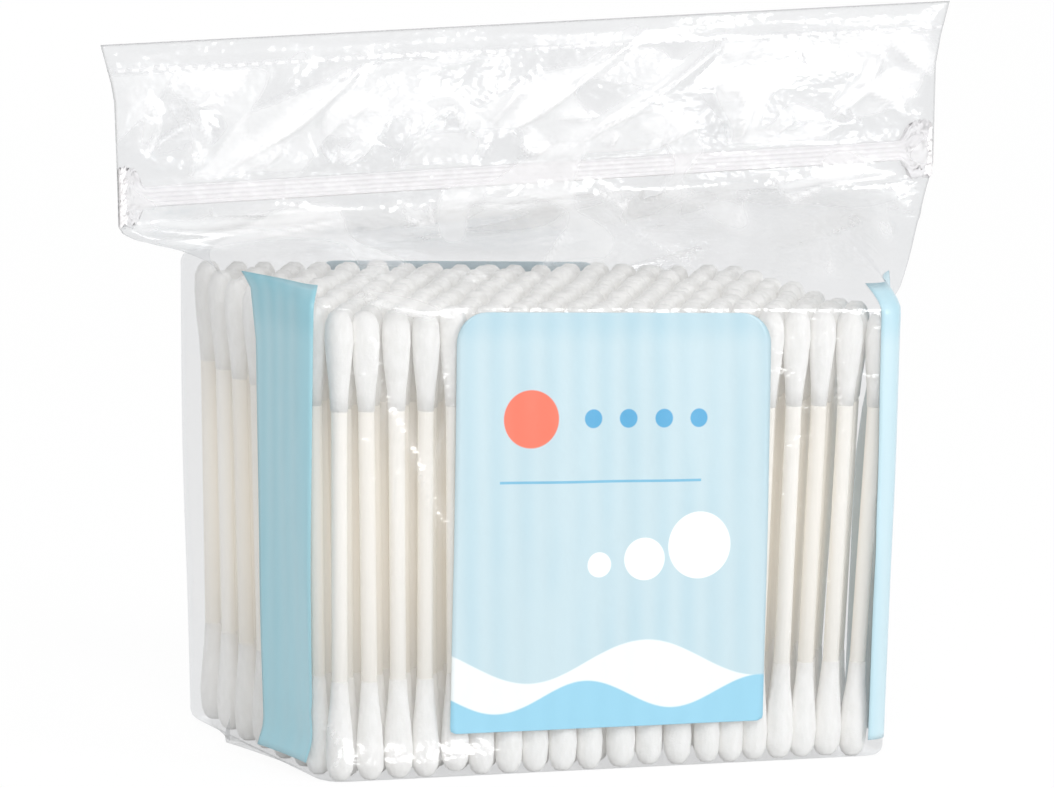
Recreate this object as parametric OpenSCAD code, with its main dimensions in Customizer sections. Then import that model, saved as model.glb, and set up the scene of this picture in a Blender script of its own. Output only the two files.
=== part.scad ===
// Resealable clear film bag packed with paper-stick cotton swabs that stand upright in rows.

/* [Swab] */
// Length of one swab, tip to tip
swab_len = 73; // [60:0.5:85]
// Diameter of the rolled paper stick
stick_d = 2.5; // [2:0.1:3]
// Largest diameter of a cotton tip
tip_d = 4.5; // [3.8:0.02:5]
// Length of the cotton along the stick
tip_len = 15.5; // [12:0.5:20]
// Distance from the end of a tip to its fattest point
tip_belly = 4.6; // [3:0.1:6]
// Cotton beyond the end of the stick
tip_end_wall = 1.4; // [1:0.1:3]
// Radius of the small flat at the very end of a tip
tip_flat_r = 0.5; // [0.3:0.1:0.8]
// Thickness of the cotton where it thins out on the stick
tip_mouth_wall = 0.12; // [0.05:0.01:0.3]

/* [Block of swabs] */
// Swabs side by side in one row
per_row = 20; // [6:1:24]
// Rows from front to back
rows = 15; // [4:1:17]
// Space between neighbouring tips
tip_gap = 0.05; // [0.02:0.01:0.3]
// How much wider the block stands at its top than at its foot
fan = 1.07; // [1:0.01:1.15]

/* [Film] */
// Thickness of the film
film_t = 0.1; // [0.06:0.01:0.2]
// Slack between the end swabs and the film at the sides
side_slack = 1.2; // [0.6:0.1:3]
// Slack between the outer rows and the film in front and behind
face_slack = 0.4; // [0.3:0.1:1.5]
// Space under and over the swabs
end_slack = 0.1; // [0.05:0.05:1]
// Radius of the folds round the bottom of the bag
foot_r = 1.5; // [0.8:0.1:2]

/* [Header] */
// Height of the header above the swabs
header_h = 42.6; // [32:0.5:60]
// Width of the header at its top edge
header_w = 146; // [115:1:160]
// How much narrower the header is at the zip, and again at the ears below it
draw_in = 4; // [0:0.5:8]
// Height over which the sides step out from the block to the ears
ear_rise = 11; // [6:0.5:14]
// Width of the welds down both sides
weld_w = 2; // [1:0.1:3]
// Height of the weld along the top edge
top_weld_h = 2; // [1:0.1:3]
// Space left between the two films of the flat header
header_gap = 0.4; // [0.2:0.05:1]

/* [Tear line] */
// Distance of the tear line below the top edge
tear_drop = 4; // [3.5:0.1:8]
// Length of one perforation
tear_cut = 1.3; // [0.6:0.1:1.6]
// Distance between perforations
tear_pitch = 2.2; // [2:0.1:4]
// Height of one perforation
tear_slot = 0.15; // [0.1:0.01:0.3]

/* [Zip] */
// Height of the middle of the zip above the swabs
zip_rise = 18.5; // [15:0.5:24]
// Height of the two zip strips
zip_h = 3.4; // [3:0.1:5]
// Thickness of the flat back of each strip
zip_back_t = 0.2; // [0.15:0.01:0.3]
// Depth of the channel that the rib snaps into
channel_depth = 0.9; // [0.7:0.05:1.2]
// Clear width inside the channel
channel_w = 1.1; // [1:0.05:1.3]
// Thickness of the channel's two walls
channel_wall = 0.25; // [0.15:0.01:0.3]
// Width of the rib's neck
rib_neck_w = 0.4; // [0.3:0.05:0.5]
// Running clearance between rib and channel
zip_fit = 0.05; // [0.03:0.01:0.1]
// Length at each end where the closed zip is crushed flat
crush_len = 4.5; // [3:0.1:8]

/* [Print] */
// Thickness of the printed layer
print_t = 0.05; // [0.03:0.01:0.1]
// Width of the front and back fields
field_w = 53; // [30:1:66]
// Height of the front and back fields
field_h = 66; // [40:0.5:66]
// Corner radius of the fields
field_r = 5; // [1:0.5:12]
// Sideways place of the front field
field_x = 0.5; // [-5:0.5:5]
// Distance of the fields above the foot
field_foot = 7; // [3:0.5:10]
// Distance of the stripes above the foot
stripe_foot = 3; // [2:0.5:10]
// Height of the two stripes at the front corners
stripe_h = 70; // [40:0.5:70]
// How far a stripe runs back along the side, behind the corner
stripe_back = 14; // [2:0.5:20]

/* [Hidden] */
$fn = 48;
function smooth(t) = let (s = min(max(t, 0), 1)) s * s * (3 - 2 * s);
function blend(a, b, t) = a + (b - a) * t;

tip_r = tip_d / 2;
stick_r = stick_d / 2;
tip_space = tip_d + tip_gap;

// The feet of the swabs are packed like a honeycomb. The tops fan out sideways, and the rows
// close up from front to back, so that neighbours still stand one tip apart.
foot_pitch = tip_space;
top_pitch = foot_pitch * fan;
foot_row_pitch = sqrt(pow(tip_space, 2) - pow(foot_pitch / 2, 2));
top_row_pitch = sqrt(pow(tip_space, 2) - pow(top_pitch / 2, 2));
foot_z = film_t + end_slack;
block_top = foot_z + swab_len + end_slack;
bag_h = block_top + header_h;

// Half sizes of the film round the block, at the foot and at the top of the swabs.
row_reach = (per_row - 1) / 2 + 1 / 4;
foot_half_w = row_reach * foot_pitch + tip_r + side_slack + film_t;
top_half_w = row_reach * top_pitch + tip_r + side_slack + film_t;
foot_half_d = (rows - 1) / 2 * foot_row_pitch + tip_r + face_slack + film_t;
top_half_d = (rows - 1) / 2 * top_row_pitch + tip_r + face_slack + film_t;

// The largest corner radius that still clears the swab in the corner of the block.
corner_clear = 0.2;
side_room = side_slack - corner_clear;
face_room = face_slack - corner_clear;
corner_r = tip_r + film_t + corner_clear + side_room + face_room + sqrt(2 * side_room * face_room);

// Heights of the zip, and half thicknesses of the header there and where it lies flat.
zip_z = block_top + zip_rise;
zip_pocket = (2 * zip_back_t + channel_depth + zip_fit) / 2;
zip_half = zip_pocket + film_t;
flat_half = header_gap / 2 + film_t;
zip_margin = 0.6;
zip_foot = zip_z - zip_h / 2 - zip_margin;
zip_head = zip_z + zip_h / 2 + zip_margin;
zip_half_w = header_half_w(zip_foot) - weld_w;

// Steps of the film's mesh: round a corner, along half a side, along half a face, and upwards.
corner_steps = 5;
side_steps = 5;
face_steps = 7;
shoulder_steps = 12;
foot_steps = 3;
quarter = corner_steps + side_steps + face_steps;
columns = 4 * quarter;

// One quarter of a rounded rectangle: from the middle of the side, round the corner, to the
// middle of the face. The first step along the side is the width of the weld.
function quarter_point(i, half_w, half_d, r) =
    let (side = half_d - r, turn = 90 / corner_steps, face = half_w - r)
    i == 0 ? [half_w, 0]
    : i <= side_steps ? [half_w, blend(weld_w, side, (i - 1) / (side_steps - 1))]
    : i <= side_steps + corner_steps
        ? let (angle = (i - side_steps) * turn) [face + r * cos(angle), side + r * sin(angle)]
    : [face * (quarter - i) / face_steps, half_d];

// Distance of the same point from the middle of the side, measured along the film.
function quarter_length(i, half_w, half_d, r) =
    let (side = half_d - r, face = half_w - r, arc = r * PI / 2)
    i == 0 ? 0
    : i <= side_steps ? blend(weld_w, side, (i - 1) / (side_steps - 1))
    : i <= side_steps + corner_steps ? side + arc * (i - side_steps) / corner_steps
    : side + arc + face * (i - side_steps - corner_steps) / face_steps;

// All four quarters, as [index within the quarter, sign of x, sign of y].
function column_key(c) =
    c < quarter ? [c, 1, 1]
    : c < 2 * quarter ? [2 * quarter - c, -1, 1]
    : c < 3 * quarter ? [c - 2 * quarter, -1, -1]
    : [4 * quarter - c, 1, -1];

// Width and depth of the block at height z, less an inset.
function wall_half_w(z) = blend(foot_half_w, top_half_w, z / block_top);
function wall_half_d(z) = blend(foot_half_d, top_half_d, z / block_top);

// A level ring round the block, drawn in by an inset.
function block_ring(z, inset) = [
    for (c = [0:columns - 1])
        let (
            key = column_key(c),
            p = quarter_point(key[0], wall_half_w(z) - inset, wall_half_d(z) - inset, corner_r - inset)
        )
        [key[1] * p[0], key[2] * p[1], z]
];

// A level ring above the block. Its rounded rectangle turns into the flat header: out_share
// moves the points sideways, and flat_share closes them towards the middle. The film keeps its
// length round the bag, so each point keeps its share of the way from side to side.
half_round = quarter_length(quarter, top_half_w, top_half_d, corner_r);

function header_ring(z, half_w, half_d) = [
    for (c = [0:columns - 1])
        let (
            key = column_key(c),
            p = quarter_point(key[0], top_half_w, top_half_d, corner_r),
            share = quarter_length(key[0], top_half_w, top_half_d, corner_r) / half_round,
            flat_y = key[0] == 0 ? 0 : half_d
        )
        [
            key[1] * blend(p[0], half_w * (1 - share), out_share(z)),
            key[2] * blend(p[1], flat_y, flat_share(z)),
            z
        ]
];

function out_share(z) = smooth((z - block_top) / ear_rise);
function flat_share(z) = smooth((z - block_top) / (zip_foot - block_top));

// Half width and half thickness of the header at height z.
function header_half_w(z) = header_w / 2
    - draw_in / 2 * (1 - smooth((z - zip_z) / (bag_h - zip_z)))
    - draw_in / 2 * (1 - smooth((z - block_top) / (zip_z - block_top)));

function header_half_d(z) = blend(zip_half, flat_half, smooth((z - zip_head) / (2 * zip_h)));

// The rounded foot of the bag, from its flat bottom to the upright wall.
function foot_rings(inset) = [
    for (i = [0:foot_steps])
        let (angle = 90 * i / foot_steps)
        block_ring(inset + foot_r * (1 - cos(angle)), inset + foot_r * (1 - sin(angle)))
];

header_levels = concat(
    [for (i = [0:shoulder_steps]) blend(block_top, zip_foot, i / shoulder_steps)],
    [zip_head, zip_head + zip_h, zip_head + 2 * zip_h, bag_h - 2 * tear_drop],
    [bag_h - top_weld_h - film_t]
);
header_rings = [for (z = header_levels) header_ring(z, header_half_w(z), header_half_d(z))];

// The outside of the film.
function outside() = concat(
    foot_rings(0),
    header_rings,
    [
        header_ring(bag_h - top_weld_h, header_half_w(bag_h - top_weld_h), flat_half),
        header_ring(bag_h, header_w / 2, film_t)
    ]
);

// The inside of the film: every point lies one thickness behind the outside, along its normal,
// and the welds at both sides stay solid.
function inside() = concat(
    foot_rings(film_t),
    [for (j = [0:len(header_levels) - 1]) inner_ring(j)]
);

function inner_ring(j) =
    let (
        z = header_levels[j],
        below = header_rings[max(j - 1, 0)],
        above = header_rings[min(j + 1, len(header_levels) - 1)],
        here = header_rings[j],
        weld_x = blend(top_half_w - film_t, header_half_w(z) - weld_w, out_share(z))
    )
    [
        for (c = [0:columns - 1])
            let (
                along = here[(c + 1) % columns] - here[(c + columns - 1) % columns],
                normal = cross(along, above[c] - below[c]),
                p = here[c] - film_t * normal / norm(normal)
            )
            [min(max(p[0], -weld_x), weld_x), p[1], p[2]]
    ];

// A closed solid through a list of rings, with a fan of triangles at each end.
module loft(rings) {
    n = len(rings[0]);
    last = len(rings) - 1;
    foot_middle = [0, 0, rings[0][0][2]];
    head_middle = [0, 0, rings[last][0][2]];
    polyhedron(
        points = concat([for (r = rings) each r], [foot_middle, head_middle]),
        faces = concat(
            [
                for (j = [0:last - 1], i = [0:n - 1])
                    let (a = j * n + i, b = j * n + (i + 1) % n)
                    each [[a, a + n, b], [b, a + n, b + n]]
            ],
            [for (i = [0:n - 1]) [n * (last + 1), i, (i + 1) % n]],
            [for (i = [0:n - 1]) [n * (last + 1) + 1, n * last + (i + 1) % n, n * last + i]]
        )
    );
}

module tear_line() {
    half = header_half_w(bag_h - tear_drop) - weld_w - tear_cut;
    count = floor(half / tear_pitch);
    for (i = [-count:count])
        translate([i * tear_pitch - tear_cut / 2, -zip_half, bag_h - tear_drop - tear_slot / 2])
            cube([tear_cut, 2 * zip_half, tear_slot]);
}

module bag_film() {
    color([0.88, 0.9, 0.92, 0.35])
        difference() {
            loft(outside());
            loft(inside());
            tear_line();
        }
}

// Section of the strip with the channel, lying on its back: across the zip and away from the film.
// The two walls end in lips that hold the head of the rib.
module channel_section() {
    wall_out = channel_w / 2 + channel_wall;
    lip = rib_neck_w / 2 + zip_fit;
    lip_t = channel_depth / 4;
    translate([-zip_h / 2, 0])
        square([zip_h, zip_back_t]);
    for (side = [-1, 1])
        scale([side, 1])
            polygon([
                [channel_w / 2, 0],
                [wall_out, 0],
                [wall_out, zip_back_t + channel_depth - lip_t],
                [wall_out - channel_wall / 2, zip_back_t + channel_depth],
                [lip, zip_back_t + channel_depth - lip_t / 2],
                [lip, zip_back_t + channel_depth - lip_t],
                [channel_w / 2, zip_back_t + channel_depth - 1.5 * lip_t]
            ]);
}

// Section of the strip with the rib: a neck and an arrow head that fills the channel.
module rib_section() {
    reach = zip_back_t + channel_depth;
    lip_t = channel_depth / 4;
    head_half = channel_w / 2 - zip_fit;
    head_foot = zip_back_t + zip_fit + lip_t + zip_fit;
    head_mid = zip_back_t + zip_fit + 1.5 * lip_t + 2 * zip_fit;
    translate([-zip_h / 2, 0])
        square([zip_h, zip_back_t]);
    polygon([
        [-rib_neck_w / 2, 0],
        [rib_neck_w / 2, 0],
        [rib_neck_w / 2, head_foot],
        [head_half, head_mid],
        [head_half, head_mid + lip_t / 2],
        [head_half / 2, reach],
        [-head_half / 2, reach],
        [-head_half, head_mid + lip_t / 2],
        [-head_half, head_mid],
        [-rib_neck_w / 2, head_foot]
    ]);
}

// One zip strip along the header. The section runs between the ends, and each end is crushed
// into a flat bar that reaches the middle of the pocket.
module zip_strip() {
    run = zip_half_w - crush_len;
    translate([-run, 0, 0])
        rotate([90, 0, 90])
            linear_extrude(2 * run)
                children();
    for (side = [-1, 1])
        translate([side > 0 ? run : -zip_half_w, -zip_h / 2, 0])
            cube([crush_len, zip_h, zip_pocket]);
}

module zip_channel_strip() {
    color("mistyrose")
        translate([0, -zip_pocket, zip_z])
            rotate([-90, 0, 0])
                zip_strip()
                    channel_section();
}

module zip_rib_strip() {
    color("white")
        translate([0, zip_pocket, zip_z])
            rotate([90, 0, 0])
                zip_strip()
                    rib_section();
}

// A thin field of print on the flat front of the film, which leans with the block.
module field() {
    lean = atan2(foot_half_d - top_half_d, block_top);
    translate([0, -wall_half_d(field_foot), field_foot])
        rotate([90 - lean, 0, 0])
            linear_extrude(print_t)
                translate([-field_w / 2, 0])
                    rounded_field();
}

module rounded_field() {
    r = min(field_r, field_w / 2, field_h / 2);
    translate([r, 0])
        square([field_w - 2 * r, field_h]);
    translate([0, r])
        square([field_w, field_h - 2 * r]);
    for (x = [r, field_w - r], y = [r, field_h - r])
        translate([x, y])
            circle(r);
}

module front_print() {
    color("lightblue")
        translate([field_x, 0, 0])
            field();
}

module back_print() {
    color("lightblue")
        rotate(180)
            field();
}

// One level row of points of a stripe: round the front left corner of the film, then back
// along the side. grow is the distance from the film's outside.
function stripe_row(z, grow) =
    let (x = wall_half_w(z) - corner_r, y = wall_half_d(z) - corner_r, r = corner_r + grow)
    concat(
        [
            for (i = [0:corner_steps])
                let (angle = 90 * i / corner_steps)
                [-x - r * sin(angle), -y - r * cos(angle), z]
        ],
        [[-x - r, -y + stripe_back, z]]
    );

module stripe() {
    foot = stripe_foot;
    head = stripe_foot + stripe_h;
    n = corner_steps + 2;
    polyhedron(
        points = concat(
            stripe_row(foot, 0),
            stripe_row(head, 0),
            stripe_row(foot, print_t),
            stripe_row(head, print_t)
        ),
        faces = concat(
            [for (i = [0:n - 2]) each strip_quad(n + i, n + i + 1, i, i + 1)],
            [for (i = [0:n - 2]) each strip_quad(2 * n + i, 2 * n + i + 1, 3 * n + i, 3 * n + i + 1)],
            [for (i = [0:n - 2]) each strip_quad(i, i + 1, 2 * n + i, 2 * n + i + 1)],
            [for (i = [0:n - 2]) each strip_quad(3 * n + i, 3 * n + i + 1, n + i, n + i + 1)],
            strip_quad(0, 2 * n, n, 3 * n),
            strip_quad(2 * n - 1, 4 * n - 1, n - 1, 3 * n - 1)
        )
    );
}

// Two triangles on four corners: a and b along one edge, c and d along the other.
function strip_quad(a, b, c, d) = [[a, b, d], [a, d, c]];

module left_stripe() {
    color("skyblue")
        stripe();
}

module right_stripe() {
    color("skyblue")
        mirror([1, 0, 0])
            stripe();
}

// Puts a swab's part in its place: column k of row j, leaning from its foot to its top.
module at_swab(k, j) {
    shift = j % 2 == 0 ? 1 / 4 : -1 / 4;
    column = k - (per_row - 1) / 2 + shift;
    row = j - (rows - 1) / 2;
    foot = [column * foot_pitch, row * foot_row_pitch];
    run = [column * top_pitch, row * top_row_pitch] - foot;
    lean = asin(norm(run) / swab_len);
    translate([foot[0], foot[1], foot_z])
        rotate([0, lean, norm(run) > 0 ? atan2(run[1], run[0]) : 0])
            children();
}

// The cotton is wound on the end of the stick. Its outline swells from the rounded end to the
// belly and thins out along the stick, and the stick's end sits in a blind bore.
dome_steps = 4;
taper_steps = 6;

function taper_r(t) = blend(stick_r + tip_mouth_wall, tip_r, (1 + cos(180 * t)) / 2);

module cotton_tip() {
    rotate_extrude()
        polygon(concat(
            [[0, 0], [tip_flat_r, 0]],
            [
                for (i = [1:dome_steps])
                    let (angle = 90 * i / dome_steps)
                    [tip_r * sin(angle), tip_belly * (1 - cos(angle))]
            ],
            [
                for (i = [1:taper_steps])
                    let (t = i / taper_steps)
                    [taper_r(t), blend(tip_belly, tip_len, t)]
            ],
            [[stick_r, tip_len], [stick_r, tip_end_wall], [0, tip_end_wall]]
        ));
}

module lower_tips(j) {
    color("white")
        for (k = [0:per_row - 1])
            at_swab(k, j)
                cotton_tip();
}

module upper_tips(j) {
    color("white")
        for (k = [0:per_row - 1])
            at_swab(k, j)
                translate([0, 0, swab_len])
                    mirror([0, 0, 1])
                        cotton_tip();
}

module sticks(j) {
    color("antiquewhite")
        for (k = [0:per_row - 1])
            at_swab(k, j)
                translate([0, 0, tip_end_wall])
                    cylinder(r = stick_r, h = swab_len - 2 * tip_end_wall);
}

function row_name(part, j) = str(part, "_row_", j < 9 ? "0" : "", j + 1);

bag_film();
zip_channel_strip();
zip_rib_strip();
front_print();
back_print();
left_stripe();
right_stripe();
for (j = [0:rows - 1]) {
    sticks(j);
    upper_tips(j);
    lower_tips(j);
}
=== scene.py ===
# A resealable clear film bag of paper-stick cotton swabs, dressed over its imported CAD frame.
# Shapes are worked out in millimetres and written to the meshes in metres.
import math

import bpy
import numpy as np
from mathutils import Matrix


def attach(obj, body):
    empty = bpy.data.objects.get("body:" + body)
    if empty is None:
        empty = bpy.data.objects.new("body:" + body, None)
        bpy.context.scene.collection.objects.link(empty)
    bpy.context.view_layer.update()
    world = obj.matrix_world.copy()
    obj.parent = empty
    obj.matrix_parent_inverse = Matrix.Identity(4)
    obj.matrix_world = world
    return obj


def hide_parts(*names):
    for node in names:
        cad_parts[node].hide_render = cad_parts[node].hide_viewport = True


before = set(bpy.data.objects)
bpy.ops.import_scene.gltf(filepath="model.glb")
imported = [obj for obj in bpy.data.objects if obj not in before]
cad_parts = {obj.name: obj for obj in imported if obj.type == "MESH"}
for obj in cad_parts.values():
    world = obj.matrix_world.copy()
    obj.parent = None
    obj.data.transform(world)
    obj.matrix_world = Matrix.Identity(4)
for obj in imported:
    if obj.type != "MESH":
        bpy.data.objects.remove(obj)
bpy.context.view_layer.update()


# The room: a white floor that runs on into a white background, a broad soft lamp high in front, weaker
# ones on the right and behind, and a camera on a long lens at the photograph's angle.
def srgb(red, green, blue):
    """Linear colour of an 8-bit screen colour: ((c / 255 + 0.055) / 1.055) to the power 2.4."""
    return tuple(((c / 255 + 0.055) / 1.055) ** 2.4 for c in (red, green, blue))


class Value:
    """A socket that does sums: each operator adds one Math node."""

    def __init__(self, paint, socket):
        self.paint = paint
        self.socket = socket

    def maths(self, operation, *terms):
        """A Math node with these terms."""
        return self.paint.add("ShaderNodeMath", {"operation": operation}, dict(enumerate(terms)))

    def __add__(self, other):
        return self.maths("ADD", self, other)

    __radd__ = __add__

    def __sub__(self, other):
        return self.maths("SUBTRACT", self, other)

    def __rsub__(self, other):
        return self.maths("SUBTRACT", other, self)

    def __mul__(self, other):
        return self.maths("MULTIPLY", self, other)

    __rmul__ = __mul__

    def __pow__(self, other):
        return self.maths("POWER", self, other)

    def __abs__(self):
        return self.maths("ABSOLUTE", self)

    def sine(self):
        return self.maths("SINE", self)

    def most(self, other):
        return self.maths("MAXIMUM", self, other)

    def least(self, other):
        return self.maths("MINIMUM", self, other)


class Paint:
    """The nodes of one material or of the world."""

    def __init__(self, name, world=False):
        self.holder = bpy.data.worlds.new(name) if world else bpy.data.materials.new(name)
        self.holder.use_nodes = True
        self.tree = self.holder.node_tree
        self.tree.nodes.clear()
        self.end = self.tree.nodes.new("ShaderNodeOutputWorld" if world else "ShaderNodeOutputMaterial")

    def add(self, kind, settings=None, sockets=None, out=0):
        """Adds a node, sets it up, fills or links its sockets and gives back one output."""
        node = self.tree.nodes.new(kind)
        for name, setting in (settings or {}).items():
            setattr(node, name, setting)
        for name, given in (sockets or {}).items():
            socket = node.inputs[name]
            if isinstance(given, Value):
                self.tree.links.new(given.socket, socket)
            elif isinstance(given, tuple) and socket.type == "RGBA":
                socket.default_value = given + (1,)
            else:
                socket.default_value = given
        return Value(self, node.outputs[out])

    def axes(self, kind="Object"):
        """The three coordinates of the object or of its UV map, each as a value."""
        place = self.add("ShaderNodeTexCoord", out=kind)
        return [self.add("ShaderNodeSeparateXYZ", None, {0: place}, out=axis) for axis in "XYZ"]

    def point(self, x, y, z):
        return self.add("ShaderNodeCombineXYZ", None, {0: x, 1: y, 2: z})

    def noise(self, place, scale, detail=3.0, roughness=0.55):
        sockets = {"Vector": place, "Scale": scale, "Detail": detail, "Roughness": roughness}
        return self.add("ShaderNodeTexNoise", None, sockets)

    def step(self, value, low, high):
        """Rises smoothly from 0 to 1 while the value goes from low to high."""
        sockets = {"Value": value, "From Min": low, "From Max": high}
        return self.add("ShaderNodeMapRange", {"interpolation_type": "SMOOTHSTEP"}, sockets)

    def blend(self, share, first, second):
        sockets = {0: share, 6: first, 7: second}
        return self.add("ShaderNodeMix", {"data_type": "RGBA"}, sockets, out=2)

    def bump(self, height, distance, strength=1.0):
        sockets = {"Strength": strength, "Distance": distance, "Height": height}
        return self.add("ShaderNodeBump", None, sockets)

    def surface(self, shader):
        self.tree.links.new(shader.socket, self.end.inputs[0])
        return self.holder


white = (1.0, 1.0, 1.0)
floor_paint = Paint("white_floor")
path = {name: floor_paint.add("ShaderNodeLightPath", out=name)
        for name in ("Is Camera Ray", "Is Glossy Ray", "Is Transmission Ray")}
seen = path["Is Camera Ray"].most(path["Is Glossy Ray"]).most(path["Is Transmission Ray"])
lit = floor_paint.add("ShaderNodeBsdfDiffuse", None, {"Color": (0.94, 0.94, 0.94)})
glow = floor_paint.add("ShaderNodeEmission", None, {"Color": white, "Strength": 1.02})
floor_material = floor_paint.surface(
    floor_paint.add("ShaderNodeMixShader", None, {0: seen * 0.92, 1: lit, 2: glow}))
floor_mesh = bpy.data.meshes.new("floor")
floor_reach = 6.0
floor_mesh.from_pydata(
    [(-floor_reach, -floor_reach, 0), (floor_reach, -floor_reach, 0),
     (floor_reach, floor_reach, 0), (-floor_reach, floor_reach, 0)], [], [(0, 1, 2, 3)])
floor_mesh.materials.append(floor_material)
floor = bpy.data.objects.new("floor", floor_mesh)
bpy.context.scene.collection.objects.link(floor)

room = Paint("pale_room", world=True)
path = {name: room.add("ShaderNodeLightPath", out=name)
        for name in ("Is Camera Ray", "Is Glossy Ray", "Is Transmission Ray")}
seen = path["Is Camera Ray"].most(path["Is Glossy Ray"]).most(path["Is Transmission Ray"])
room_light = 0.56
strength = room_light + (1 - room_light) * seen
bpy.context.scene.world = room.surface(
    room.add("ShaderNodeBackground", None, {"Color": white, "Strength": strength}))

for name, place, size, power in (
    ("lamp_left", (-0.4, -1.25, 1.05), 0.8, 9.0),
    ("lamp_right", (0.85, -1.2, 0.42), 0.5, 7.0),
    ("lamp_back", (0.35, 1.5, 0.8), 0.9, 2.5),
):
    lamp_data = bpy.data.lights.new(name, "AREA")
    lamp_data.size = size
    lamp_data.energy = power
    lamp = bpy.data.objects.new(name, lamp_data)
    bpy.context.scene.collection.objects.link(lamp)
    away = np.array(place) - np.array([0, 0, 0.06])
    lamp.location = place
    lamp.rotation_euler = (math.acos(away[2] / np.linalg.norm(away)), 0, math.atan2(away[0], -away[1]))

azimuth, elevation, roll = np.radians([24.19, 7.655, 1.889])
aim = np.array([-1.567, -1.5, 55.331]) / 1000
back = np.array([-np.sin(azimuth) * np.cos(elevation), -np.cos(azimuth) * np.cos(elevation),
                 np.sin(elevation)])
level = np.cross(-back, [0, 0, 1])
level /= np.linalg.norm(level)
upward = np.cross(level, -back)
right = level * np.cos(roll) + upward * np.sin(roll)
above = upward * np.cos(roll) - level * np.sin(roll)
focal_pixels, picture_pixels, distance = 7174.86, 1054, 1.133657
camera_data = bpy.data.cameras.new("camera")
camera_data.sensor_width = 36.0
camera_data.lens = camera_data.sensor_width * focal_pixels / picture_pixels
camera = bpy.data.objects.new("camera", camera_data)
stand = aim + back * distance
turned = np.stack([right, above, back, stand], 1)
camera.matrix_world = Matrix([*turned.tolist(), [0, 0, 0, 1]])
bpy.context.scene.collection.objects.link(camera)
bpy.context.scene.camera = camera
bpy.context.scene.view_settings.view_transform = "Standard"


# The swabs: rolled paper sticks with cotton wound on both ends, standing in fifteen rows of twenty
# like a honeycomb. Loose swabs lean and ride up a little, so no two stand quite alike.
swab_length = 73.0
block_foot, block_top = 0.2, 73.4
foot_pitch, top_pitch = 4.55, 4.8685
foot_row_pitch, top_row_pitch = 3.94, 3.844
stick_radius, tip_radius, tip_length = 1.25, 2.25, 15.5
header_turn = math.radians(2.54)
zip_height = 92.0


def ease(t):
    """Smooth step: 3 t squared less 2 t cubed, with t held between 0 and 1."""
    t = np.clip(t, 0, 1)
    return t * t * (3 - 2 * t)


def settle(points):
    """How the full bag sits. Up to the tops of the swabs it leans by 0.011 of the height, and the
    tops sink by up to a millimetre and a half towards the right. The header above is turned by
    2.54 degrees round the middle of the zip, and between the two the shift eases from one to
    the other. At the back left corner the block is pressed in by up to 0.8 mm."""
    x, y, z = points[..., 0], points[..., 1], points[..., 2]
    share = np.clip(z / block_top, 0, 1)
    header = ease((z - 74) / 14)
    pressed = 0.8 * np.clip(-x / 51, 0, 1) ** 3 * np.clip(y / 29, 0, 1) ** 1.5 * (1 - header)
    sunk_x = x + 0.375 - 0.011 * (z - 36.6) + pressed
    sunk_z = z + (0.015 * y - 0.022 * x - 1.03) * share
    turned_x = x * math.cos(header_turn) - (z - zip_height) * math.sin(header_turn) - 0.375
    turned_z = zip_height + x * math.sin(header_turn) + (z - zip_height) * math.cos(header_turn) - 1.9
    return np.stack(
        [sunk_x + header * (turned_x - sunk_x), y, sunk_z + header * (turned_z - sunk_z)], -1)


def add_piece(name, points, faces, material, slot, *nodes, smooth=True):
    """A mesh piece that rides on the bag's one body and stands for the CAD nodes it names."""
    mesh = bpy.data.meshes.new(name)
    mesh.from_pydata((points.reshape(-1, 3) / 1000).tolist(), [], [list(f) for f in faces])
    mesh.update()
    mesh.polygons.foreach_set("use_smooth", np.full(len(mesh.polygons), smooth))
    mesh.materials.append(material)
    piece = bpy.data.objects.new(name, mesh)
    bpy.context.scene.collection.objects.link(piece)
    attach(piece, "root")
    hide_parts(*nodes)
    return piece


def add_attribute(piece, name, values):
    """One number for each vertex, which the piece's material reads by name."""
    attribute = piece.data.attributes.new(name, "FLOAT", "POINT")
    attribute.data.foreach_set("value", np.ravel(values).astype(np.float32))


def grid_faces(rows, columns, closed=False):
    """Quads of a grid of points: row r, column c joins the next column and the next row."""
    r, c = np.meshgrid(np.arange(rows - 1), np.arange(columns if closed else columns - 1), indexing="ij")
    right_column = (c + 1) % columns
    quads = [r * columns + c, r * columns + right_column,
             (r + 1) * columns + right_column, (r + 1) * columns + c]
    return np.stack(quads, -1).reshape(-1, 4)


rng = np.random.default_rng(11)
column, row = np.meshgrid(np.arange(20) - 9.5, np.arange(15) - 7.0)
column = column + np.where(np.arange(15) % 2 == 0, 0.25, -0.25)[:, None]
stray = [np.clip(rng.normal(0, spread, column.shape), -2 * spread, 2 * spread)
         for spread in (0.16, 0.14, 0.2, 0.16, 0.34)]
# The front rows have slid sideways a little, by these amounts along the row.
front_drift = np.interp(np.arange(20), [0, 4, 8, 10, 13, 15, 17, 19],
                        [-1.3, -0.3, -0.6, 0.3, 1.7, 0.8, 0, -0.3])
foot_x = column * foot_pitch + stray[0]
foot_x[0] += front_drift
foot_x[1] += 0.6 * front_drift
foot_y = row * foot_row_pitch + stray[1]
top_x = column * top_pitch + stray[2]
top_y = row * top_row_pitch + stray[3]
rise = np.clip(stray[4], -0.15, 0.6)
turns = 10
spoke = 2 * np.pi * np.arange(turns) / turns


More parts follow.
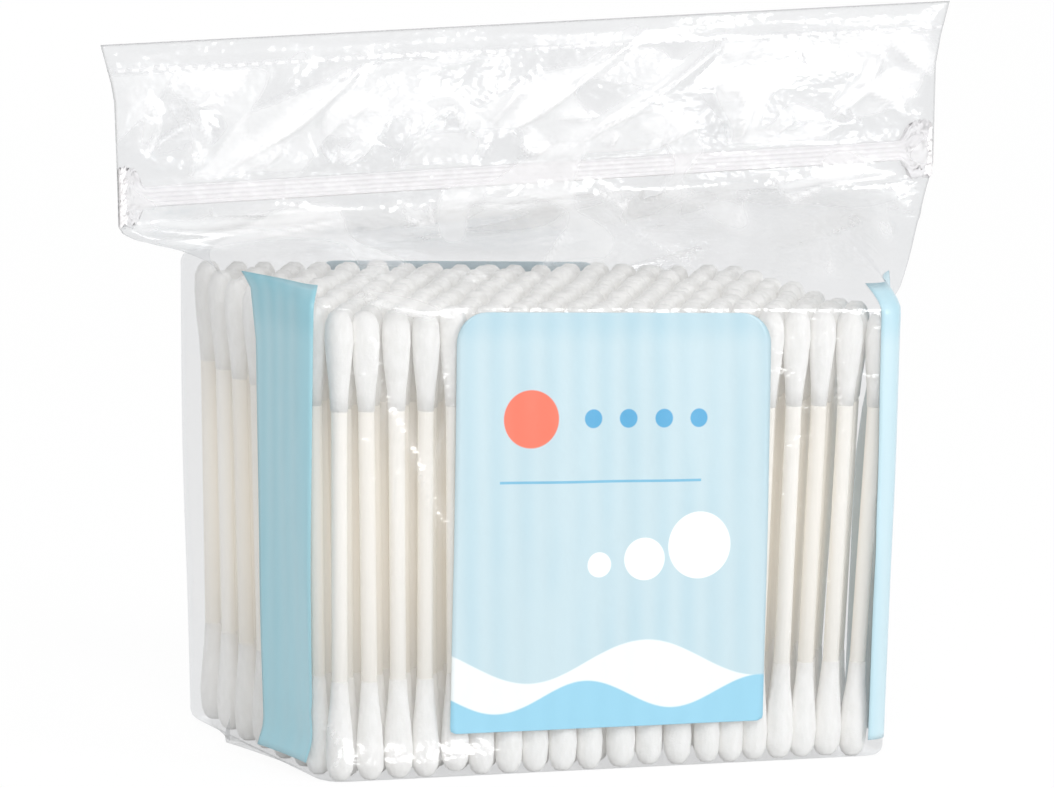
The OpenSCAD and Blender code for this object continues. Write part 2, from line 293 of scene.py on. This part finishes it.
def round_shapes(heights, radii, wobble):
    """300 closed turned shapes, one on each swab's line. Each ring lies level at its height along
    the swab, round the point foot + (top - foot) * height / length, and flat faces close the
    first and last rings. Gives the points and the faces."""
    rings = len(heights)
    share = heights / swab_length
    middle_x = foot_x[..., None] + (top_x - foot_x)[..., None] * share
    middle_y = foot_y[..., None] + (top_y - foot_y)[..., None] * share
    radius = radii * wobble
    squash = 1 + 0.03 * stray[0][..., None, None] / 0.16 * np.cos(2 * spoke)
    x = middle_x[..., None] + radius[..., None] * squash * np.cos(spoke)
    y = middle_y[..., None] + radius[..., None] * squash * np.sin(spoke)
    z = np.broadcast_to(block_foot + heights[:, None] + rise[..., None, None], x.shape)
    points = settle(np.stack([x, y, z], -1).reshape(300, rings * turns, 3))
    ring_faces = grid_faces(rings, turns, closed=True)
    first, last = np.arange(turns), (rings - 1) * turns + np.arange(turns)
    each = [list(f) for f in ring_faces] + [first[::-1].tolist(), last.tolist()]
    starts = rings * turns * np.arange(300)
    return points, [[start + i for i in face] for start in starts.tolist() for face in each]


paper = Paint("rolled_paper")
x, y, z = paper.axes()
tone = paper.add("ShaderNodeAttribute", {"attribute_name": "tone"}, out="Fac")
fibre = paper.noise(paper.point(x * 2600, y * 2600, z * 260), 1.0, 4.0)
colour = paper.blend(tone * 0.55 + fibre * 0.3, srgb(253, 251, 246), srgb(248, 242, 231))
# The weak warm emission is painted light: a glow standing in for light that passes through the paper,
# brightening the gaps between the swabs.
paper_material = paper.surface(paper.add("ShaderNodeBsdfPrincipled", None, {
    "Base Color": colour, "Roughness": 0.72 + 0.12 * fibre, "Normal": paper.bump(fibre, 0.00004),
    "Emission Color": srgb(244, 236, 222), "Emission Strength": 0.12}))

cotton = Paint("wound_cotton")
x, y, z = cotton.axes()
fluff = cotton.noise(cotton.point(x, y, z), 1500.0, 2.0, 0.65)
strand = cotton.noise(cotton.point(x * 1100, y * 1100, z * 420), 1.0, 1.0)
colour = cotton.blend(cotton.step(strand, 0.25, 0.75), srgb(249, 248, 245), srgb(255, 254, 252))
# The weak emission is painted light: a glow standing in for light that passes through the cotton.
cotton_material = cotton.surface(cotton.add("ShaderNodeBsdfPrincipled", None, {
    "Base Color": colour, "Roughness": 0.88 + 0.1 * fluff, "Sheen Weight": 0.25, "Sheen Roughness": 0.6,
    "Normal": cotton.bump(fluff * 0.6 + strand * 0.4, 0.00022, 0.8),
    "Emission Color": srgb(250, 246, 238), "Emission Strength": 0.05}))

row_names = [f"{number:02d}" for number in range(1, 16)]
even = np.ones((15, 20, 1))
points, faces = round_shapes(np.array([1.6, 36.0, 71.4]), np.full(3, stick_radius), even)
sticks = add_piece("paper_sticks", points, faces, paper_material, "paper",
                   *[f"sticks_row_{number}" for number in row_names])
add_attribute(sticks, "tone", np.repeat(rng.random(300), 3 * turns))

tip_heights = np.array([0.0, 0.55, 1.9, 4.6, 8.4, 12.2, tip_length])
tip_radii = np.array([0.9, 1.55, 2.1, tip_radius, 1.95, 1.52, 1.3])
for end, heights, node in (("lower", tip_heights, "lower_tips_row_"),
                           ("upper", swab_length - tip_heights[::-1], "upper_tips_row_")):
    radii = tip_radii if end == "lower" else tip_radii[::-1]
    fatter = np.clip(rng.normal(0, 0.025, (15, 20, 1)), -0.05, 0.05)
    wobble = np.minimum(1 + fatter + rng.normal(0, 0.012, (15, 20, len(radii))), 1.06)
    points, faces = round_shapes(heights, radii, wobble)
    add_piece(f"{end}_cotton_tips", points, faces, cotton_material, "cotton",
              *[node + number for number in row_names])


# The bag: one piece of clear polyethylene film, folded under the swabs, welded down both sides and
# along the top. Above the swabs it closes into a flat header, with creases where it was crumpled.
foot_round = 1.5
corner_radius = 4.4
zip_foot, bag_top = 89.0, 116.0
# How far the side welds stand from the middle: heights, then half widths, right and left.
right_weld = ([45, 55, 65, 70, 73.4, 78, 83.7, 90, 106, 110.5, 116],
              [51, 54, 59, 62.5, 64.6, 66.2, 68.1, 70, 70.5, 71.4, 73])
left_weld = ([66, 74, 78, 81, 82.3, 83.2, 84.6, 86.6, 88, 107, 110, 116],
             [50.6, 52, 56, 60, 63, 65, 67.5, 70, 70.5, 70.9, 71.4, 73])


def wall_sizes(side, z):
    """Half width on the left or right side, half depth and weld reach of the bag at height z."""
    share = np.clip(z / block_top, 0, 1)
    half_width = np.where(side > 0, 50.0 + 1.2 * share, 47.3 + 3.4 * share)
    half_depth = 30.4 - 0.7 * share
    weld = np.where(side > 0, np.interp(z, *right_weld), np.interp(z, *left_weld))
    return half_width, half_depth, np.maximum(weld, half_width)


def bag_shape(turn, z, inset=0.0):
    """The smooth bag. turn runs round it: 0 at the middle of the right side, 1 at the middle of
    the back, 2 at the left side and 3 at the front. On the block it is a rounded rectangle with
    an ear that reaches out to the side weld; above, the rectangle closes into two flat sheets
    that keep each point's share of the way from weld to middle."""
    quarter = np.floor(turn).astype(int) % 4
    share = np.where(quarter % 2 == 0, turn - np.floor(turn), 1 - (turn - np.floor(turn)))
    side = np.where((quarter == 0) | (quarter == 3), 1.0, -1.0)
    face = np.where(quarter < 2, 1.0, -1.0)
    half_width, half_depth, weld = wall_sizes(side, z)
    half_width, half_depth = half_width - inset, half_depth - inset
    radius = corner_radius - inset
    straight = half_depth - radius
    arc = radius * np.pi / 2
    length = share * (straight + arc + half_width - radius)
    angle = np.clip((length - straight) / radius, 0, np.pi / 2)
    beyond = np.clip(length - straight - arc, 0, None)
    ear = (weld - half_width) * np.clip(1 - share / 0.34, 0, 1) ** 1.6 * (inset == 0)
    block_x = half_width - radius + radius * np.cos(angle) - beyond + ear
    block_y = np.minimum(length, straight) + radius * np.sin(angle)
    flat = ease((z - block_top) / (zip_foot - block_top))
    puff = np.clip((z - 94) / 18, 0, 1)
    gap = 0.75 + 1.7 * np.sin(np.pi * puff) * np.sin(np.pi * np.clip(share * 1.6, 0, 1) / 2)
    gap = gap * np.clip((bag_top - z) / 2.2, 0, 1) * np.clip(share / 0.03, 0, 1)
    x = (1 - flat) * block_x + flat * weld * (1 - share)
    y = (1 - flat) * block_y + flat * gap
    return np.stack([side * x, face * y, np.broadcast_to(z, x.shape)], -1)


# Creases as chains of points across the header and the front, x and z in mm, then height and width.
front_creases = [
    ([(-54, 95.3), (-40.6, 102.8), (-28.3, 112.3)], 0.9, 0.9),
    ([(-6.8, 99), (0.6, 102.5), (20.3, 115)], 0.8, 0.8),
    ([(3, 95.2), (19.2, 103.4), (34, 112.3)], 0.9, 0.8),
    ([(21.2, 95.7), (27, 98.6)], 0.5, 0.6),
    ([(33, 105), (36, 101), (34.6, 95.3)], 1.2, 1.0),
    ([(50, 98), (57, 103), (66, 99)], 1.4, 1.3),
    ([(57, 103), (60, 108)], 1.0, 1.0),
    ([(62, 110), (70, 104)], 1.0, 1.2),
    ([(-72, 87.4), (-65, 87), (-58.9, 85.6), (-50, 85.8), (-46.9, 84.8), (-38, 86.5), (-31.8, 87.3)],
     0.9, 0.7),
    ([(-25, 89.5), (-23, 86), (-20, 85.2), (-18.5, 89)], 1.2, 0.9),
    ([(9.6, 90), (11, 87), (12.7, 85.6), (16, 88)], 1.1, 0.9),
    ([(40, 90), (41, 87), (42.1, 85.4), (52, 87.6), (64, 88.3)], 1.0, 0.7),
    ([(-18, 88), (-6, 86.6), (8, 87)], 0.7, 0.8),
    ([(-44, 76.2), (-38, 74), (-32.7, 72.9), (-25.5, 71.2)], 0.8, 1.0),
    ([(-66, 98), (-64, 104), (-68, 110)], 0.8, 1.2),
    ([(-58, 96), (-56, 101), (-59, 106)], 0.8, 1.4),
    ([(-47, 96), (-44, 99)], 0.7, 0.8),
    ([(-36, 97.5), (-33, 96), (-30, 98), (-27, 103)], 0.9, 0.9),
    ([(-22, 97), (-20, 102), (-16, 104), (-12, 99)], 0.9, 1.0),
    ([(-4, 98), (-2, 95.5), (2, 96.5)], 0.9, 0.7),
    ([(12, 96), (13, 98)], 0.7, 0.7),
    ([(41, 96), (44, 99), (52, 97)], 0.8, 0.8),
]
body_creases = [
    ([(-39, 61), (-33, 50), (-26.4, 34)], 0.35, 0.8),
    ([(-41, 70), (-37, 52), (-35, 30)], 0.3, 0.7),
    ([(-30, 70), (-28, 58), (-31, 44)], 0.3, 0.8),
    ([(-48, 12), (-44, 5), (-46, 2)], 0.6, 0.8),
    ([(36, 70), (40, 52), (38, 30)], 0.25, 0.7),
    ([(47, 60), (45, 40), (48, 20)], 0.3, 0.9),
]


def scattered_creases(count, low, high, reach, seed):
    """Short seeded creases, mostly slanting, between two heights and within reach of the middle."""
    draw = np.random.default_rng(seed)
    start = np.stack([draw.uniform(-reach, reach, count), draw.uniform(low, high, count)], 1)
    tilt = draw.normal(0.5, 0.7, count)
    length = draw.uniform(4, 15, count)
    run = np.stack([np.cos(tilt) * length, np.sin(tilt) * length * 0.6], 1)
    return [([tuple(a), tuple(a + b)], h, w) for a, b, h, w in
            zip(start, run, draw.uniform(0.15, 0.5, count), draw.uniform(0.5, 1.0, count))]


back_creases = [([(-x, z) for x, z in line], h, w) for line, h, w in front_creases[3:16]]
front_creases += scattered_creases(26, 76, 110, 64, 3)
back_creases += scattered_creases(34, 76, 110, 64, 5)


def crease_field(x, z, creases):
    """Height of all creases at each point, and their painted shine: a painted highlight where they
    would catch the light. A crease's chain of points is rounded off; beside it the film stands up as
    height * exp(-(distance / width) squared), fading towards both ends as a half sine wave. The
    painted highlight is a thin line on the crease, and a soft one on the side above it."""
    height = np.zeros_like(x)
    painted_shine = np.zeros_like(x)
    for line, tall, wide in creases:
        knots = np.array(line, float)
        steps = np.linspace(0, len(knots) - 1, 25)
        chain = np.stack([np.interp(steps, np.arange(len(knots)), k) for k in knots.T], 1)
        for _ in range(3):
            chain[1:-1] = (chain[:-2] + 2 * chain[1:-1] + chain[2:]) / 4
        near = ((x > chain[:, 0].min() - 7) & (x < chain[:, 0].max() + 7)
                & (z > chain[:, 1].min() - 7) & (z < chain[:, 1].max() + 7))
        px, pz = x[near], z[near]
        nearest = np.full_like(px, 1e9)
        signed = np.zeros_like(px)
        place = np.zeros_like(px)
        for i, ((x0, z0), (x1, z1)) in enumerate(zip(chain[:-1], chain[1:])):
            dx, dz = x1 - x0, z1 - z0
            along = np.clip(((px - x0) * dx + (pz - z0) * dz) / (dx * dx + dz * dz), 0, 1)
            distance = np.hypot(px - x0 - along * dx, pz - z0 - along * dz)
            closer = distance < nearest
            nearest = np.where(closer, distance, nearest)
            place = np.where(closer, (i + along) / 24, place)
            signed = np.where(closer, (dx * (pz - z0) - dz * (px - x0)) / np.hypot(dx, dz), signed)
        fade = np.sin(np.pi * np.clip(place, 0, 1)) ** 0.7
        height[near] += tall * fade * np.exp(-((nearest / wide) ** 2))
        broken = 0.5 + 0.5 * np.sin(7 * place + tall * 20) ** 2
        line_shine = np.exp(-((nearest / (0.3 * wide + 0.08)) ** 2)) * broken
        side_shine = 0.5 * np.exp(-((signed - 1.6) / 1.5) ** 2) * np.exp(-((nearest / 3.4) ** 2))
        painted_shine[near] = np.maximum(painted_shine[near], min(tall, 1) * fade * np.maximum(line_shine, side_shine))
    return height, painted_shine


def drift(x, z, size, seed):
    """Soft random patches between 0 and 1: the mean of 16 sine waves of about the given size in mm,
    each with a seeded direction and phase, stretched to fill the range."""
    draw = np.random.default_rng(seed)
    total = np.zeros_like(x)
    for angle, phase, scale in zip(draw.uniform(0, np.pi, 16), draw.uniform(0, 7, 16),
                                   draw.uniform(0.6, 1.5, 16)):
        total += np.sin((x * np.cos(angle) + z * np.sin(angle)) * 2 * np.pi / (size * scale) + phase)
    return np.clip(0.5 + total / 11, 0, 1)


def film_lift(turn, z):
    """How far the crumpled film stands off the smooth bag, in mm, and its painted shine, a painted
    highlight, from 0 to 1. Long sine waves make the slack of the header and the walls, and creases are added
    to them."""
    smooth = bag_shape(turn, z)
    x, y = smooth[..., 0], smooth[..., 1]
    front = y < 0
    header = ease((z - 75) / 8)
    at_zip = np.exp(-(((z - 92.2) / 2.6) ** 4))
    at_top = ease((bag_top - z) / 5)
    at_edge = ease((70 - np.abs(x)) / 8)
    phase = np.where(front, 0.0, 2.1)
    wave = np.sin(x / 7.5 + 1.7 * np.sin(z / 6.0 + phase) + phase)
    wave = wave + 0.6 * np.sin(z / 4.3 + x / 13.0 + 2 * phase)
    shoulder = np.exp(-(((z - 83) / 6) ** 2))
    slack = header * (1 - at_zip) * at_top * at_edge * (0.28 + 0.3 * shoulder) * wave
    # The walls touch the swabs at their tips and hang a little loose between.
    waist = np.sin(np.pi * np.clip(z / block_top, 0, 1)) * (1 - header)
    wall = waist * 0.22 * (1 + np.sin(x / 2.9 + 0.8 * np.sin(z / 11) + y / 4) * 0.8)
    lip = 1.3 * np.exp(-((z - 2.5) / 2.5) ** 2) * ease((-x - 8) / 30) * front * (1 - header)
    front_height, front_shine = crease_field(x, z, front_creases)
    back_height, back_shine = crease_field(x, z, back_creases)
    body_height, body_shine = crease_field(x, z, body_creases)
    above_block = ease((z - 70) / 4)
    on_block = front * (z < 74)
    height = np.where(front, front_height, back_height) * above_block + on_block * body_height
    painted_shine = np.where(front, front_shine, back_shine) * above_block + on_block * body_shine * 0.7
    height = height * (1 - 0.85 * at_zip) * at_top * (0.25 + 0.75 * at_edge)
    return slack + wall + lip + height, painted_shine * (1 - at_zip)


def film_point(turn, z, proud=0.0):
    """A point of the finished film: the smooth bag, moved along its normal by the film's lift
    and by proud, then settled."""
    turn_step, z_step = 0.002, 0.2
    along = bag_shape(turn + turn_step, z) - bag_shape(turn - turn_step, z)
    up = bag_shape(turn, z + z_step) - bag_shape(turn, z - z_step)
    normal = np.cross(along, up)
    normal /= np.maximum(np.linalg.norm(normal, axis=-1, keepdims=True), 1e-9)
    return settle(bag_shape(turn, z) + normal * np.expand_dims(film_lift(turn, z)[0] + proud, -1))


film_columns = 520
turn_steps = 4 * np.arange(film_columns) / film_columns
wall_heights = np.concatenate([np.linspace(foot_round, 70, 66), np.linspace(70.5, bag_top, 92)])
turn_grid, z_grid = np.meshgrid(turn_steps, wall_heights)
walls = film_point(turn_grid, z_grid)
painted_shine = film_lift(turn_grid, z_grid)[1]
smooth = bag_shape(turn_grid, z_grid)
foot_rows = []
for angle in np.radians([0, 30, 60]):
    ring = bag_shape(turn_steps, np.full(film_columns, 0.01), foot_round * (1 - np.sin(angle)))
    ring[:, 2] = 0.03 + foot_round * (1 - np.cos(angle))
    foot_rows.append(settle(ring))
floor_rows = [foot_rows[0] * [share, share, 1] for share in (0.02, 0.25, 0.5, 0.75, 0.93)]
film_rows = np.concatenate([np.stack(floor_rows + foot_rows), walls])
# The front and the back meet in one line along the top edge, so they share its points.
last_row = (len(film_rows) - 1) * film_columns
film_size = last_row + film_columns // 2 + 1
film_faces = grid_faces(len(film_rows), film_columns, closed=True)
mirrored = last_row + (last_row + film_columns - film_faces)
film_faces = np.where(film_faces < film_size, film_faces, mirrored).tolist()
film_faces += [[c, film_size, (c + 1) % film_columns] for c in range(film_columns)]
film_points = np.vstack([film_rows.reshape(-1, 3)[:film_size], floor_rows[0].mean(0)])

film = Paint("clear_film")
x, y, z = film.axes()
sheet_x = film.add("ShaderNodeAttribute", {"attribute_name": "sheet_x"}, out="Fac")
sheet_z = film.add("ShaderNodeAttribute", {"attribute_name": "sheet_z"}, out="Fac")
# The painted shine read here is painted highlight: glare of the lamps on creases and patches of the film.
painted_highlight = film.add("ShaderNodeAttribute", {"attribute_name": "painted_shine"}, out="Fac")
crinkle = film.noise(film.point(x, y, z * 1.5), 130.0, 3.0, 0.6)
# The tear line: short cuts every 2.2 mm, 4 mm below the top edge, with a paler band above it.
tear_pitch, tear_height = 2.2, 111.9
cut = (sheet_x * (2 * math.pi / tear_pitch)).sine()
tear = film.step(abs(sheet_z - tear_height), 0.34, 0.12) * film.step(cut, -0.5, 0.2)
band = film.step(sheet_z, tear_height - 0.2, tear_height + 0.2)
facing = film.add("ShaderNodeLayerWeight", None, {"Blend": 0.35}, out="Facing")
bump = film.bump(crinkle, 0.001, 0.5)
mirror = film.add("ShaderNodeBsdfGlossy", None, {
    "Color": (0.95, 0.96, 0.97), "Roughness": 0.16, "Normal": bump})
clear = film.add("ShaderNodeBsdfTransparent", None, {"Color": (0.9, 0.903, 0.908)})
glassy = film.add("ShaderNodeMixShader", None, {0: 0.09 + 0.45 * facing ** 3, 1: clear, 2: mirror})
# Milky white film: a little real haze everywhere and along the tear line, and painted highlight wherever the
# painted shine is.
haze_and_painted_highlight = film.add("ShaderNodeBsdfPrincipled", None, {
    "Base Color": (0.97, 0.97, 0.975), "Roughness": 0.3, "Normal": bump})
share = (0.05 + painted_highlight + tear * 0.4 + band * 0.1).least(0.92)
film_material = film.surface(film.add("ShaderNodeMixShader", None, {0: share, 1: glassy, 2: haze_and_painted_highlight}))

bag = add_piece("clear_bag", film_points, film_faces, film_material, "film", "bag_film")
blank = np.zeros((len(floor_rows) + len(foot_rows), film_columns))
# Painted glare, a painted highlight of the lamps: soft white patches in the header and long slanting
# streaks, added to the creases' painted shine and weaker above the tear line.
in_header = ease((z_grid - 93.5) / 2) * ease((111.6 - z_grid) / 0.5)
patches = ease((drift(smooth[..., 0], 1.4 * z_grid, 24, 21) - 0.5) / 0.1) * in_header
streaks = ease((drift(smooth[..., 0] + z_grid, 3 * z_grid - smooth[..., 0], 30, 4) - 0.62) / 0.12)
glare = 0.27 * patches + 0.25 * streaks * ease((z_grid - 76) / 6)
bag_painted_shine = 0.9 * painted_shine + glare * (1 - 0.8 * (z_grid > tear_height))
for name, values in (("painted_shine", bag_painted_shine), ("sheet_x", smooth[..., 0]), ("sheet_z", z_grid)):
    add_attribute(bag, name, np.append(np.concatenate([blank, values]).ravel()[:film_size], 0.0))


# The print: ink on the outside of the film. A pale blue field on the front and the back, with a
# generic pattern of dots and waves, and a plain blue stripe round each front corner.
def turn_at(x, z, face):
    """Where a point x along the front or back wall lies round the bag."""
    side = np.where(x > 0, 1.0, -1.0)
    half_width, half_depth, _ = wall_sizes(side, z)
    straight = half_depth - corner_radius
    arc = corner_radius * np.pi / 2
    length = straight + arc + half_width - corner_radius
    share = 1 - np.abs(x) / length
    if face < 0:
        return np.where(side > 0, 4 - share, 2 + share)
    return np.where(side > 0, share, 2 - share)


def turn_from_corner(side, back_length, z):
    """Where a point lies round the bag, a length back from where a front corner starts to bend."""
    half_width, half_depth, _ = wall_sizes(np.full_like(z, side), z)
    straight = half_depth - corner_radius
    arc = corner_radius * np.pi / 2
    share = (straight + arc - back_length) / (straight + arc + half_width - corner_radius)
    return 4 - share if side > 0 else 2 + share


ink_height = 0.12
ink_thickness = 0.05


def add_print(name, turn, z, across, material, slot, node, flip):
    """A thin printed patch on the film, on a grid of places round the bag and heights."""
    points = film_point(turn, z, proud=ink_height)
    quads = grid_faces(*turn.shape)
    piece = add_piece(name, points, (quads[:, ::-1] if flip else quads).tolist(), material, slot, node)
    add_attribute(piece, "across", across)
    add_attribute(piece, "upward", z)
    shell = piece.modifiers.new("ink", "SOLIDIFY")
    shell.thickness = ink_thickness / 1000
    shell.offset = 1
    return piece


def ink(name, pale, deep_and_shaded, pattern):
    """Glossy ink. Faint upright bands of painted shade stand for the swabs behind it, the top is painted
    darker as shade where the print bends back over the tips, and the film's wrinkles show as bump.
    """
    paint = Paint(name)
    x, y, z = paint.axes()
    across = paint.add("ShaderNodeAttribute", {"attribute_name": "across"}, out="Fac")
    upward = paint.add("ShaderNodeAttribute", {"attribute_name": "upward"}, out="Fac")
    cloud = paint.noise(paint.point(x * 60, y * 60, z * 25), 1.0, 3.0)
    # Painted shade: upright bands where the swabs behind the ink shade it, and above 67.5 mm a darker top
    # where the print bends back over the tips.
    swabs = (across * (2 * math.pi / 4.6) + upward * 0.035 + cloud * 2.2).sine() * 0.5 + 0.5
    painted_top_shade = paint.step(upward, 67.5, 72.0)
    shade = 0.12 + 0.4 * swabs * paint.step(cloud, 0.3, 0.6) + 0.5 * painted_top_shade
    colour = pattern(paint, across, upward, paint.blend(shade, pale, deep_and_shaded))
    crinkle = paint.noise(paint.point(x, y, z), 240.0, 3.0)
    return paint.surface(paint.add("ShaderNodeBsdfPrincipled", None, {
        "Base Color": colour, "Roughness": 0.3 + 0.15 * crinkle, "Coat Weight": 0.25, "Coat Roughness": 0.15,
        "Normal": paint.bump(swabs * 0.35 + crinkle * 0.3 + cloud * 0.5, 0.0005, 0.5)}))


def field_pattern(paint, across, upward, ground):
    """A white and a blue wave along the foot, three white discs above them, a thin line, and at the
    top a coral disc with four small blue ones. A disc is where the distance from its middle is
    less than its radius, and a wave is what lies under a sine curve."""
    wave = 18 + 3.2 * (across * 0.16 + 0.6).sine()
    low_wave = 12.5 + 2.4 * (across * 0.21 + 2.4).sine()
    pale_wave = paint.step(wave - upward, 0.0, 0.35)
    deep_wave = paint.step(low_wave - upward, 0.0, 0.35)
    colour = paint.blend(pale_wave * 0.8, ground, srgb(248, 250, 250))
    colour = paint.blend(deep_wave, colour, srgb(150, 205, 228))
    for centre_x, centre_z, radius, tint in (
        (-14.0, 56.5, 4.6, srgb(238, 120, 96)), (-3.5, 56.5, 1.5, srgb(86, 166, 210)),
        (2.5, 56.5, 1.5, srgb(86, 166, 210)), (8.5, 56.5, 1.5, srgb(86, 166, 210)),
        (14.5, 56.5, 1.5, srgb(86, 166, 210)), (15.0, 36.0, 5.4, srgb(249, 250, 250)),
        (5.6, 34.0, 3.4, srgb(249, 250, 250)), (-2.0, 33.2, 2.0, srgb(249, 250, 250)),
    ):
        away = ((across - centre_x) ** 2 + (upward - centre_z) ** 2) ** 0.5
        colour = paint.blend(paint.step(away, radius + 0.12, radius - 0.12), colour, tint)
    line = paint.step(abs(upward - 46.5), 0.28, 0.14) * paint.step(abs(across + 2), 17.2, 17.0)
    return paint.blend(line, colour, srgb(120, 184, 214))


# Each ink gets its pale colour and a deeper copy, which serves mostly as painted shade.
field_material = ink("printed_field", srgb(198, 218, 225), srgb(176, 207, 219), field_pattern)


def plain(paint, across, upward, ground):
    """No pattern: the ground colour."""
    return ground


left_material = ink("printed_left_stripe", srgb(168, 214, 226), srgb(145, 200, 214), plain)
right_material = ink("printed_right_stripe", srgb(203, 226, 234), srgb(176, 213, 226), plain)
field_foot, field_top = 7.1, 73.3
field_middle, field_half, field_corner = 0.3, 26.7, 5.0
edge = field_corner * (1 - np.cos(np.linspace(0, np.pi / 2, 9)))
between = np.linspace(field_foot + field_corner + 1, field_top - field_corner - 1, 54)
heights = np.concatenate([field_foot + edge, between, field_top - edge[::-1]])
# The upper corners are round, and the lower ones nearly square.
from_end = np.clip(np.minimum(5 * (heights - field_foot) + 2, field_top - heights), 0, field_corner)
round_part = np.sqrt(np.clip(field_corner**2 - (field_corner - from_end) ** 2, 0, None))
half = field_half - field_corner + round_part
spread = np.linspace(-1, 1, 61)
for name, face, node in (("front_field", -1, "front_print"), ("back_field", 1, "back_print")):
    across = spread * half[:, None]
    z = np.broadcast_to(heights[:, None], across.shape)
    turn = turn_at(-face * field_middle + across, z, face)
    add_print(name, turn, z, -face * across, field_material, "print_field", node, flip=face > 0)
for name, side, material, foot_ends, top_ends in (
    ("left_stripe", -1, left_material, (6.2, 22.5), (3.4, 24.5)),
    ("right_stripe", 1, right_material, (0.0, 21.0), (-0.6, 21.0)),
):
    z, share = np.meshgrid(np.linspace(3, 77, 75), np.linspace(0, 1, 26), indexing="ij")
    rise_share = (z - 3) / 74
    start = foot_ends[0] + (top_ends[0] - foot_ends[0]) * rise_share
    length = start + share * (foot_ends[1] + (top_ends[1] - foot_ends[1]) * rise_share - start)
    turn = turn_from_corner(side, length, z)
    add_print(f"{name}_ink", turn, z, length, material, "print_stripe", name, flip=side < 0)


# The zip: two extruded strips welded to the inside of the film, one with a channel and one with a
# rib. Fine ridges run along them, and both ends are crushed flat and crumpled together.
zip_middle, zip_half = 92.2, 1.6
zip_left, zip_right = -66.2, 63.7
crushed_left, crushed_right = -70.4, 69.6
stations = np.concatenate([
    np.linspace(crushed_left, zip_left, 14)[:-1], np.linspace(zip_left, zip_right, 180),
    np.linspace(zip_right, crushed_right, 14)[1:]])
crushed = np.where(stations < zip_left, (zip_left - stations) / 4.2,
                   np.where(stations > zip_right, (stations - zip_right) / 5.9, 0))
crushed = ease(crushed * 2.5)
# Across a strip, from its lower to its upper edge: fine ridges, and a bead along the lower edge.
profile_z = np.linspace(-1, 1, 41)
ridge = 0.1 * np.clip(np.cos(profile_z * np.pi * 4.5), -0.4, 1)
ridge = ridge + 0.22 * np.exp(-((profile_z + 0.82) / 0.12) ** 2)

milky_zip = Paint("zip_plastic")
x, y, z = milky_zip.axes()
stretch = milky_zip.noise(milky_zip.point(x * 40, y * 300, z * 1500), 1.0, 3.0)
grain = milky_zip.noise(milky_zip.point(x, y, z), 420.0, 3.0)
zip_glass = milky_zip.add("ShaderNodeBsdfTransparent", None, {"Color": (0.93, 0.92, 0.925)})
# The zip body's weak emission is painted light: a glow standing in for light that passes through the
# plastic.
zip_body = milky_zip.add("ShaderNodeBsdfPrincipled", None, {
    "Base Color": milky_zip.blend(stretch, srgb(255, 254, 254), srgb(250, 247, 248)),
    "Roughness": 0.3 + 0.2 * grain,
    "Normal": milky_zip.bump(stretch * 0.6 + grain * 0.4, 0.00012, 0.5),
    "Emission Color": srgb(250, 246, 248), "Emission Strength": 0.06})
zip_material = milky_zip.surface(milky_zip.add("ShaderNodeMixShader", None, {
    0: 0.86 + 0.1 * milky_zip.step(grain, 0.4, 0.7), 1: zip_glass, 2: zip_body}))
crumple = np.random.default_rng(8)
for name, face, node in (("zip_front_strip", -1, "zip_channel_strip"),
                         ("zip_back_strip", 1, "zip_rib_strip")):
    along, up = np.meshgrid(stations, profile_z, indexing="ij")
    press = crushed[:, None]
    rough = crumple.normal(0, 0.15, along.shape) * press
    z = zip_middle + zip_half * up * (1 + 1.7 * press) + 2 * rough
    outer = face * (0.42 + ridge * (1 - press) + 0.5 * rough)
    inner = np.full_like(outer, face * 0.05)
    outside_face = settle(np.stack([along, outer, z], -1))
    inside_face = settle(np.stack([along, inner, z], -1))
    loop = np.concatenate([outside_face, inside_face[:, ::-1]], 1)
    count = loop.shape[1]
    last = (len(stations) - 1) * count
    faces = grid_faces(len(stations), count, closed=True).tolist()
    faces += [list(range(count))[::-1], list(range(last, last + count))]
    if face < 0:
        faces = [quad[::-1] for quad in faces]
    add_piece(name, loop, faces, zip_material, "zip", node)
